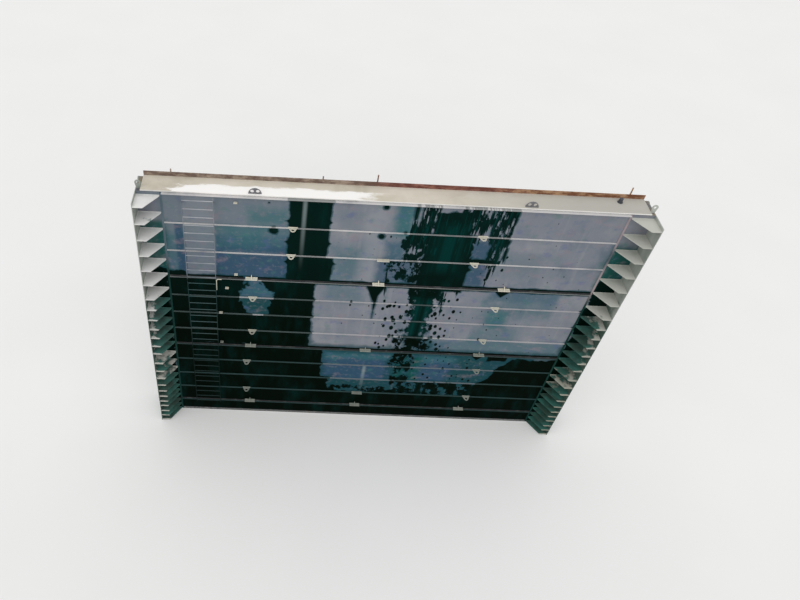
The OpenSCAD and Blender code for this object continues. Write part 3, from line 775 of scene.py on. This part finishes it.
clamp_steel, tree, shader, place = new_material("clamp_steel", specular=0.4)
rust = rust_on(place, amount=0.16)
spangle = noise(place, 26.0, 3.0, 0.5)
colour = mixed(spangle.rise(0.35, 0.65), tone(112, 114, 114), tone(146, 148, 146))
colour = mixed(rust["Mask"], colour, rust["Colour"])
feed(tree, shader.inputs["Metallic"], 0.7 - rust["Mask"] * 0.7)
finish_shader(tree, shader, colour, spangle * 0.2 + 0.4, rust["Height"], depth=0.001)


def rounded_bar(low, high, axis, radius):
    """A bar along one axis between two corners, whose profile is a rectangle with its four corners
    drawn as quarter circles of the given radius."""
    low, high = np.array(low, float), np.array(high, float)
    first, second = [k for k in range(3) if k != axis]
    angle = np.linspace(0, np.pi / 2, 4)
    corners = np.array([[1, 1], [-1, 1], [-1, -1], [1, -1]])
    turned = angle + np.arange(4)[:, None] * np.pi / 2
    arcs = radius * np.stack([np.cos(turned), np.sin(turned)], -1)
    middle, half = (low + high) / 2, (high - low) / 2
    centres = corners * (half[[first, second]] - radius)
    outline = (centres[:, None] + arcs).reshape(-1, 2) + middle[[first, second]]
    rings = np.empty((2, len(outline), 3))
    rings[:, :, [first, second]] = outline
    rings[0, :, axis], rings[1, :, axis] = low[axis], high[axis]
    return rings


def bulb_strip(start, end, flat, bulb, across, out, width):
    """A strip seal from start to end: its profile is a tongue of thickness flat that runs into a
    round bulb of radius bulb. The bulb's circle is drawn from its lowest point round to where it
    meets the top of the tongue."""
    start, end, across, out = (np.array(v, float) for v in (start, end, across, out))
    neck = np.arccos(1 - flat / bulb)
    centre = np.array([width - bulb, bulb])
    angle = np.linspace(-np.pi / 2, np.pi * 1.5 - neck - np.pi / 2, 16)
    round_part = centre + bulb * np.stack([np.cos(angle), np.sin(angle)], -1)
    profile = np.vstack([[0, flat], [0, 0], round_part])
    profile[:, 1] = np.clip(profile[:, 1], 0, None)
    ring = profile[:, :1] * across + profile[:, 1:] * out
    return np.stack([start + ring, end + ring])


def bolt_heads(places, out, radius):
    """Hexagon bolt heads on round washers, one at each place and standing along out: rings of twelve
    points, of which every second one is drawn in to the flats, closed by a chamfered top."""
    places, out = np.array(places, float), np.array(out, float)
    slanting = (0.3, 0.5, 0.8)
    side = np.cross(out, slanting)
    side /= np.linalg.norm(side)
    other = np.cross(out, side)
    angle = np.arange(12) * np.pi / 6
    flats = np.where(np.arange(12) % 2, math.cos(math.pi / 6), 1.0)
    turn = np.cos(angle)[:, None] * side + np.sin(angle)[:, None] * other
    # Each ring's width and rise, as shares of the radius, and whether it is six-sided
    rings = [(1.35, 0.0, 0), (1.35, 0.16, 0), (1.0, 0.16, 1), (1.0, 0.72, 1), (0.84, 0.86, 0)]
    head = np.stack([
        radius * (wide * np.where(hexagon, flats, 1.0)[:, None] * turn + rise * out)
        for wide, rise, hexagon in rings])
    return [place + head for place in places]


def bolt_row(low_x, high_x, pitch, y, z):
    """The places of a level row of bolts: half a pitch in from its left end, and then a pitch apart."""
    xs = np.arange(low_x + pitch / 2, high_x - pitch / 3, pitch)
    return np.stack([xs, np.full_like(xs, y), np.full_like(xs, z)], -1)


tongue = 0.012
side_bulb, foot_bulb = 0.011, 0.010
# The clamp bars leave a margin of the tongue bare, and stop short of the seals' two ends. The foot
# seal's bar stands a little proud of its bulb.
margin, end_gap, bar_proud = 0.012, 0.02, 0.002
bar_thickness, bar_edge = 0.008, 0.002
side_bar_width, foot_bar_width = 0.054, 0.056

seal_clamps, seal_strips = [], []
seal_low, seal_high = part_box("side_seals")
for side in (-1, 1):
    root_x = side * (seal_high.x - 2 * side_bulb)
    seal_strips.append(bulb_strip(
        (root_x, seal_low.y, seal_low.z), (root_x, seal_low.y, seal_high.z), flat=tongue,
        bulb=side_bulb, across=(0, 1, 0), out=(side, 0, 0), width=seal_high.y - seal_low.y))
    bar_x = sorted((root_x + side * tongue, root_x + side * (tongue + bar_thickness)))
    seal_clamps.append(rounded_bar(
        (bar_x[0], seal_low.y + margin, seal_low.z + end_gap),
        (bar_x[1], seal_low.y + margin + side_bar_width, seal_high.z - end_gap),
        axis=2, radius=bar_edge))
side_strips = make_piece("side_seal_strips", seal_strips, rubber)
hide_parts("side_seals")

foot_low, foot_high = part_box("foot_seal")
foot_strip = make_piece("foot_seal_strip", [bulb_strip(
    (foot_low.x, foot_high.y, foot_high.z), (foot_high.x, foot_high.y, foot_high.z), flat=tongue,
    bulb=foot_bulb, across=(0, 0, -1), out=front, width=foot_high.z - foot_low.z)],
    rubber)
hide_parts("foot_seal")
bar_front = foot_low.y - bar_proud
bar_top = foot_high.z - margin
seal_clamps.append(rounded_bar(
    (foot_low.x + end_gap, bar_front, bar_top - foot_bar_width),
    (foot_high.x - end_gap, foot_high.y - tongue, bar_top), axis=0, radius=bar_edge))
make_piece("seal_clamp_bars", seal_clamps, clamp_steel)
foot_bolts = bolt_row(
    foot_low.x, foot_high.x, pitch=0.30, y=bar_front, z=bar_top - foot_bar_width / 2)
make_piece("foot_seal_bolts", bolt_heads(foot_bolts, front, radius=0.015), clamp_steel)


def bent_leaf(low_x, high_x, back_y, leaf_y, skin_y, foot, bend, top):
    """A joint seal's leaf from low_x to high_x. Its profile runs forward along the pad's foot to
    leaf_y, turns up through a quarter circle of radius turn, ends in a half circle under top, and
    comes back down the skin to the level of the bend."""
    turn = 0.015
    nose = (skin_y - leaf_y) / 2
    quarter = np.linspace(0, np.pi / 2, 5)
    half = np.linspace(0, np.pi, 7)
    corner = np.stack([leaf_y + turn * (1 - np.sin(quarter)), foot + turn * (1 - np.cos(quarter))], -1)
    crown = np.stack([leaf_y + nose * (1 - np.cos(half)), top - nose + nose * np.sin(half)], -1)
    profile = np.vstack([[back_y, foot], corner, crown, [skin_y, bend], [back_y, bend]])
    rings = np.empty((2, len(profile), 3))
    rings[:, :, 1:] = profile
    rings[0, :, 0], rings[1, :, 0] = low_x, high_x
    return rings


joint_low, joint_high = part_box("joint_seals")
pad_setback, pad_rounding = 0.040, 0.006
pad_front = face_y + pad_setback
pads = [
    rounded_bar((joint_low.x, pad_front, foot), (joint_high.x, joint_high.y, bend),
                axis=0, radius=pad_rounding)
    for foot, bend, _ in joint_levels]
leaves = [
    bent_leaf(ledge_low.x, ledge_high.x, pad_front, joint_low.y, face_y, foot, bend, top)
    for foot, bend, top in joint_levels]
joint_strips = make_piece("joint_seal_strips", pads + leaves, rubber)
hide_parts("joint_seals")

# Ladder
# Flat side bars on feet with round rungs welded between them, one length to each section, and
# small cleats and a bent hand hold beside it. Pale where dry, and green-black where water runs.

ladder_steel, tree, shader, place = new_material("ladder_steel", specular=0.2)
_, _, z = place.split()
paint = old_paint(
    place, tone(158, 162, 168), light=tone(190, 192, 194), dark=tone(118, 126, 134), runs=0.3)
rust = rust_on(place, amount=0.0)
# Below the upper section the ladder is green and wet, and all but black near the foot
drowned = z.fall(7.15, 7.45)
deep = z.fall(3.0, 5.6)
colour = mixed(drowned * 0.88, paint["Colour"], tone(20, 62, 60))
colour = mixed(deep * 0.85, colour, tone(6, 30, 26))
finish_rusty(tree, shader, colour, paint, rust, strength=0.5, depth=0.0008)
dress(ladder_steel, "ladder_rungs")
dress(lug_paint, "ladder_fittings")

side_bar_steel, tree, shader, place = new_material("side_bar_steel", specular=0.1)
_, _, z = place.split()
paint = old_paint(
    place, tone(122, 128, 136), light=tone(150, 154, 160), dark=tone(96, 106, 116), runs=0.3)
drowned = z.fall(7.15, 7.45)
colour = mixed(drowned * 0.92, paint["Colour"], tone(8, 50, 46))
colour = mixed(z.fall(3.8, 5.2) * 0.9, colour, tone(3, 18, 12))
finish_shader(tree, shader, colour, paint["Roughness"], paint["Height"], depth=0.0008)
dress(side_bar_steel, "ladder_side_bars")

rung_low, rung_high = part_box("ladder_rungs")
rung_radius = (rung_high.y - rung_low.y) / 2
rung_y = (rung_low.y + rung_high.y) / 2
rung_leg = 0.008
# The rungs of a section are as many as fit between two margins, and stand about its middle
rung_pitch, rung_margin = 0.30, 0.10
rung_heights = []
for section in ("lower", "middle", "upper"):
    low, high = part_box(section + "_skin")
    count = int((high.z - low.z - 2 * rung_margin) / rung_pitch) + 1
    start = (low.z + high.z - (count - 1) * rung_pitch) / 2
    rung_heights += [start + k * rung_pitch for k in range(count)]


def collar(centre, out, inner, outer, length):
    """The ring of weld round a rung's end: a short cone from the outer to the inner radius, a little
    fuller halfway, that stands along x in the direction out."""
    angle = np.arange(12) * np.pi / 6
    circle = np.stack([np.zeros(12), np.cos(angle), np.sin(angle)], -1)
    # Each ring's share of the length, and its radius
    steps = [(0.0, outer), (0.5, inner + 0.6 * (outer - inner)), (1.0, inner)]
    rings = [circle * radius + (out * share * length, 0, 0) for share, radius in steps]
    return np.array(centre) + np.stack(rings)


make_piece("rung_welds", [
    collar((x_end, rung_y, height), out, rung_radius, rung_radius + rung_leg, length=0.010)
    for height in rung_heights for x_end, out in ((rung_low.x, 1), (rung_high.x, -1))],
    ladder_steel)

# Deck
# A 10 mm walkway plate on upright bearers, with a bar along its front edge. Cream paint, washed
# white along the left half of its front, and greyer towards the right end.

deck_paint, tree, shader, place = new_material("deck_paint", specular=0.2)
x, y, _ = place.split()
# Seen from above, with y in the place of the height, so that a patch can lie on the deck
plan = joined(x, 0.0, y)
paint = old_paint(
    place, tone(206, 199, 184), light=tone(216, 209, 196), dark=tone(184, 176, 160), runs=0.0)
stains = noise(joined(x * 0.9, 0.0, y * 2.5), 1.0, 6.0, 0.62)
wobble = (stains - 0.5) * 0.5
colour = mixed(stains.rise(0.52, 0.72) * 0.6, paint["Colour"], tone(192, 183, 166))
grey_end = (x + wobble * 3.0).rise(0.5, 5.5)
colour = mixed(grey_end * 0.85, colour, tone(176, 175, 168))
# The white wash lies along the front edge, and thins out in rags at both of its ends
washed = patch_depth(plan, left=-6.80, right=0.40, foot=-0.60, top=0.04)
washed = (washed + wobble * 0.9).rise(-0.03, 0.06) * (x + wobble * 6.0).rise(-6.5, -6.2)
washed = washed * (x + wobble * 9.0).fall(-1.0, -0.1)
colour = mixed(washed * 0.95, colour, tone(252, 250, 248))
rust = rust_on(place, amount=-0.06)
colour = mixed(rust["Mask"] * 0.35, colour, rust["Colour"])
# Faces that look down are painted dark grey as shade under the deck plate
colour = mixed((facing_up(tree) * -1.0).rise(0.2, 0.7), colour, tone(60, 66, 66))
finish_shader(tree, shader, colour, paint["Roughness"], paint["Height"], depth=0.0015)
dress(deck_paint, "deck_plate")

edge_paint, tree, shader, place = new_material("deck_edge_paint", specular=0.2)
paint = old_paint(
    place, tone(230, 228, 224), light=tone(246, 244, 240), dark=tone(186, 186, 184), runs=0.1)
rust = rust_on(place, amount=-0.03)
finish_rusty(tree, shader, paint["Colour"], paint, rust, strength=0.5, depth=0.001)
dress(edge_paint, "deck_edge_bar")

# Back rail and stub posts
# A steel kerb bolted along the wet edge of the deck, with stubs of round bar left on top of it.
# Bare and rusted: grey-brown on the left, and orange-brown towards the right.

rail_steel, tree, shader, place = new_material("rusted_steel", specular=0.2)
x, y, z = place.split()
flakes = noise(joined(x * 2.2, y * 6.0, z * 6.0), 1.0, 8.0, 0.7)
crust = noise(place, 34.0, 6.0, 0.75)
dull = mixed(flakes.rise(0.40, 0.66), tone(108, 90, 80), tone(170, 154, 140))
red = mixed(flakes.rise(0.42, 0.64), tone(104, 62, 54), tone(150, 104, 90))
orange = mixed(flakes.rise(0.42, 0.60), tone(118, 78, 56), tone(178, 142, 110))
along = x + flakes * 2.0
colour = mixed(along.rise(-0.6, 1.2), dull, red)
colour = mixed(along.rise(3.6, 5.4), colour, orange)
colour = mixed(crust.rise(0.5, 0.8) * 0.5, colour, tone(58, 40, 34))
finish_shader(tree, shader, colour, crust * 0.3 + 0.6, flakes + crust, depth=0.002)
dress(rail_steel, "back_rail", "stub_posts")

backward = (0, 1, 0)
rail_low, rail_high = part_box("back_rail")
row_heights = (rail_low.z + 0.06, rail_low.z + 0.20)
bolt_rows = [
    bolt_row(rail_low.x, rail_high.x, pitch=0.60, y=rail_high.y, z=height) for height in row_heights]
rail_bolts = bolt_heads(np.concatenate(bolt_rows), backward, radius=0.014)
make_piece("rail_bolts", rail_bolts, rail_steel)

# Deck fittings
# Half-round lifting lugs with two eyes, burned from 30 mm plate and welded upright on the deck,
# an upright tongue with one eye beside each of its ends, and a short vent near the right end.

lug_iron, tree, shader, place = new_material("dark_iron", specular=0.3)
paint = old_paint(
    place, tone(108, 108, 112), light=tone(138, 136, 132), dark=tone(80, 80, 86), runs=0.2)
rust = rust_on(place, amount=0.05)
x, _, _ = place.split()
colour = mixed(x.rise(4.5, 6.0) * 0.8, paint["Colour"], tone(48, 54, 66))
finish_rusty(tree, shader, colour, paint, rust, strength=0.7, depth=0.001)
dress(lug_iron, "deck_lifting_lugs", "deck_vent")

lug_low, lug_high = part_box("deck_lifting_lugs")
end_low, end_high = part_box("deck_end_lugs")
# The feet of the end lugs are narrower than their heads, so only their lowest corners count
end_points = node_points("deck_end_lugs")
at_foot = end_points[:, 2] < end_low.z + 0.001
foot_x = np.abs(end_points[at_foot, 0])
end_feet = [(-foot_x.max(), -foot_x.min()), (foot_x.min(), foot_x.max())]
# The two kinds of lug: lowest corner, highest corner, feet along x, leg of the weld
lug_kinds = (
    (lug_low, lug_high, pair_spans("deck_lifting_lugs"), 0.012),
    (end_low, end_high, end_feet, 0.010))
make_piece("deck_lug_welds", [
    weld_bead((start, y_side, low.z), (end, y_side, low.z), out, upward, leg, ripple=0.03)
    for low, high, feet, leg in lug_kinds
    for start, end in feet
    for y_side, out in ((low.y, front), (high.y, backward))], lug_iron)

# Studio
# A plain pale floor at the foot of the gate, a white surround that lights all sides evenly, and
# one broad soft lamp from the front. The camera looks down at the face from high up in front.

floor_half = 260.0
floor_mesh = bpy.data.meshes.new("floor")
floor_corners = [(x * floor_half, y * floor_half, 0) for x, y in ((-1, -1), (1, -1), (1, 1), (-1, 1))]
floor_mesh.from_pydata(floor_corners, [], [(0, 1, 2, 3)])
floor = add_object("floor", floor_mesh)
floor_paint, tree, shader, place = new_material("floor_paint", specular=0.0)
shader.inputs["Roughness"].default_value = 1.0
faint = noise(place, 0.2, 2.0)
floor_dark, floor_light = (0.86, 0.86, 0.85), (0.90, 0.90, 0.89)
feed(tree, shader.inputs["Base Color"], mixed(faint, floor_dark, floor_light))
floor_mesh.materials.append(floor_paint)
floor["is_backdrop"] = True

# The surround shows white to the camera and in gloss, and lights the gate with less than that
surround_light = 0.70
world = bpy.data.worlds.new("surround")
world.use_nodes = True
bpy.context.scene.world = world
tree = world.node_tree
rays = tree.nodes.new("ShaderNodeLightPath")
shown = Field(tree, rays.outputs["Is Camera Ray"])
for name in ("Is Glossy Ray", "Is Transmission Ray"):
    shown = shown.most(Field(tree, rays.outputs[name]))
background = tree.nodes["Background"]
feed(tree, background.inputs["Color"], (1.0, 1.0, 1.0))
feed(tree, background.inputs["Strength"], shown * (1.0 - surround_light) + surround_light)

sun = bpy.data.lights.new("soft_sun", "SUN")
sun.energy = 1.1
sun.angle = math.radians(70)
lamp = add_object("soft_sun", sun)
lamp.rotation_euler = (math.radians(38), 0, math.radians(-18))

# The camera's place and angles fit the corners, the joints and the ledges of the face, on a picture
# 800 pixels wide. Its axis lies left of the picture's middle, which a sideways shift gives.
frame_width = 800
focal_pixels = 688.9
axis_pixel = 290.63
camera_place = (-3.479, -16.003, 22.489)
yaw, pitch, roll = (math.radians(degrees) for degrees in (2.257, 45.939, 4.172))
forward = Vector((math.sin(yaw) * math.cos(pitch), math.cos(yaw) * math.cos(pitch), -math.sin(pitch)))
level = Vector((math.cos(yaw), -math.sin(yaw), 0))
down = forward.cross(level)
aside = level * math.cos(roll) - down * math.sin(roll)
down = down * math.cos(roll) + level * math.sin(roll)
camera = bpy.data.cameras.new("camera")
camera.sensor_width = 36.0
camera.lens = camera.sensor_width * focal_pixels / frame_width
camera.shift_x = (frame_width / 2 - axis_pixel) / frame_width
camera.clip_end = 1000.0
eye = add_object("camera", camera)
turn = Matrix((aside, -down, -forward)).transposed()
eye.matrix_world = Matrix.Translation(camera_place) @ turn.to_4x4()
bpy.context.scene.camera = eye
bpy.context.scene.view_settings.view_transform = "Standard"

low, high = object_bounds()
